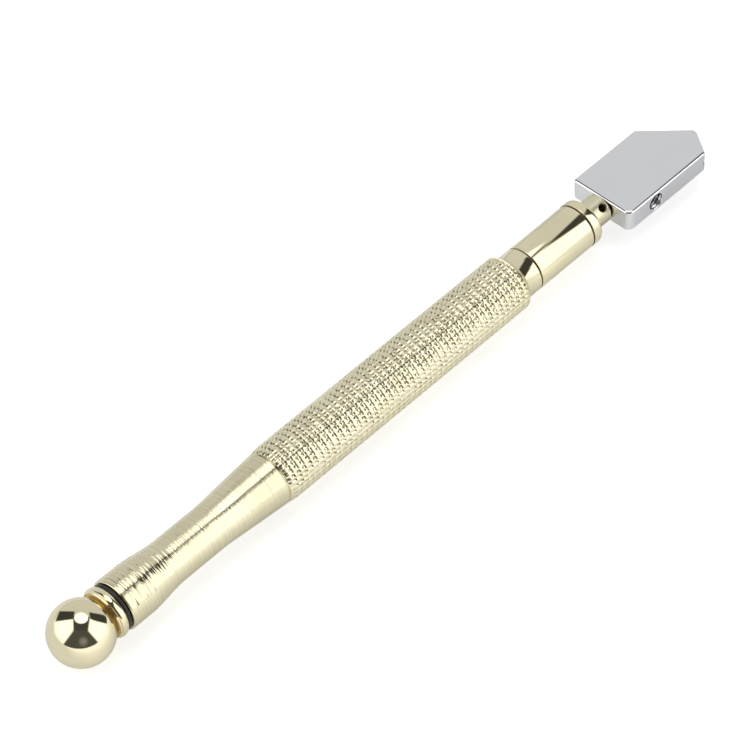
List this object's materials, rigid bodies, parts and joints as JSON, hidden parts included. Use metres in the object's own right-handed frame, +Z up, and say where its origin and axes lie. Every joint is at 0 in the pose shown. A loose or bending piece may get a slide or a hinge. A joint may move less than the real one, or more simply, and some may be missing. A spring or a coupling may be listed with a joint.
{
  "type": "glass cutter",
  "caption": "Pencil-handled oil-fed glass cutter: knurled brass barrel with a ball filler cap, a sprung oil valve, and a chromed swivelling head with a small carbide wheel.",
  "frame": {"origin": "middle of the tool's footprint on the surface it lies on, under the handle's axis", "axes": "+X along the handle from the ball cap to the cutting wheel, +Z up through the cutting head's flat face, -Y the side that the set screw is on"},
  "size_m": [0.1747, 0.0144, 0.013],
  "materials": {
    "polished_brass": "polished, clear pale brass",
    "turned_brass": "fine turned lines, knurled grip",
    "inner_brass": "machined, unpolished",
    "chrome_plate": "bright plating",
    "tool_steel": "hardened, ground",
    "spring_steel": "drawn wire",
    "carbide": "ground tungsten carbide",
    "black_rubber": "smooth, oiled",
    "red_fibre": "vulcanised fibre",
    "cotton": "oil-soaked braided cotton"
  },
  "bodies": {
    "handle": {"barrel": "turned_brass", "nose_sleeve": "polished_brass", "nose_ring": "polished_brass", "nose_o_ring": "black_rubber", "plug_gasket": "red_fibre", "valve_plug": "inner_brass", "spring_washer": "tool_steel", "valve_spring": "spring_steel"},
    "seal_ring": {"cap_o_ring": "black_rubber"},
    "filler_cap": {"ball_cap": "polished_brass"},
    "valve_neck": {"neck": "turned_brass", "valve_pin": "tool_steel", "valve_disc": "black_rubber", "disc_retainer": "inner_brass", "feed_wick": "cotton"},
    "cutting_head": {"head_block": "chrome_plate", "axle_pin": "tool_steel"},
    "wheel": {"cutting_wheel": "carbide"},
    "screw": {"set_screw": "tool_steel"}
  },
  "joints": [
    {"name": "cap_travel", "type": "slide", "parent": "handle", "child": "seal_ring", "axis": [-1, 0, 0], "range_m": [0, 0.0061]},
    {"name": "cap_turn", "type": "hinge", "parent": "seal_ring", "child": "filler_cap", "pos_m": [-0.0726, 0, 0.0065], "axis": [-1, 0, 0], "range_deg": [0, 2880]},
    {"name": "valve_stroke", "type": "slide", "parent": "handle", "child": "valve_neck", "axis": [-1, 0, 0], "range_m": [0, 0.0009], "stiffness_N_per_m": 2500, "springref_m": -0.0004, "deforming": ["valve_spring"]},
    {"name": "head_swivel", "type": "hinge", "parent": "valve_neck", "child": "cutting_head", "pos_m": [0.06875, 0, 0.0065], "axis": [1, 0, 0], "range_deg": [-10, 10]},
    {"name": "wheel_spin", "type": "hinge", "parent": "cutting_head", "child": "wheel", "pos_m": [0.08535, -0.00165, 0.0065], "axis": [0, 0, 1], "continuous": true},
    {"name": "set_screw_backout", "type": "slide", "parent": "cutting_head", "child": "screw", "axis": [0, -1, 0], "range_m": [0, 0.0008]}
  ],
  "couplings": [
    {"joint": "cap_travel", "follows": "cap_turn", "m_per_rad": 0.00011937}
  ]
}
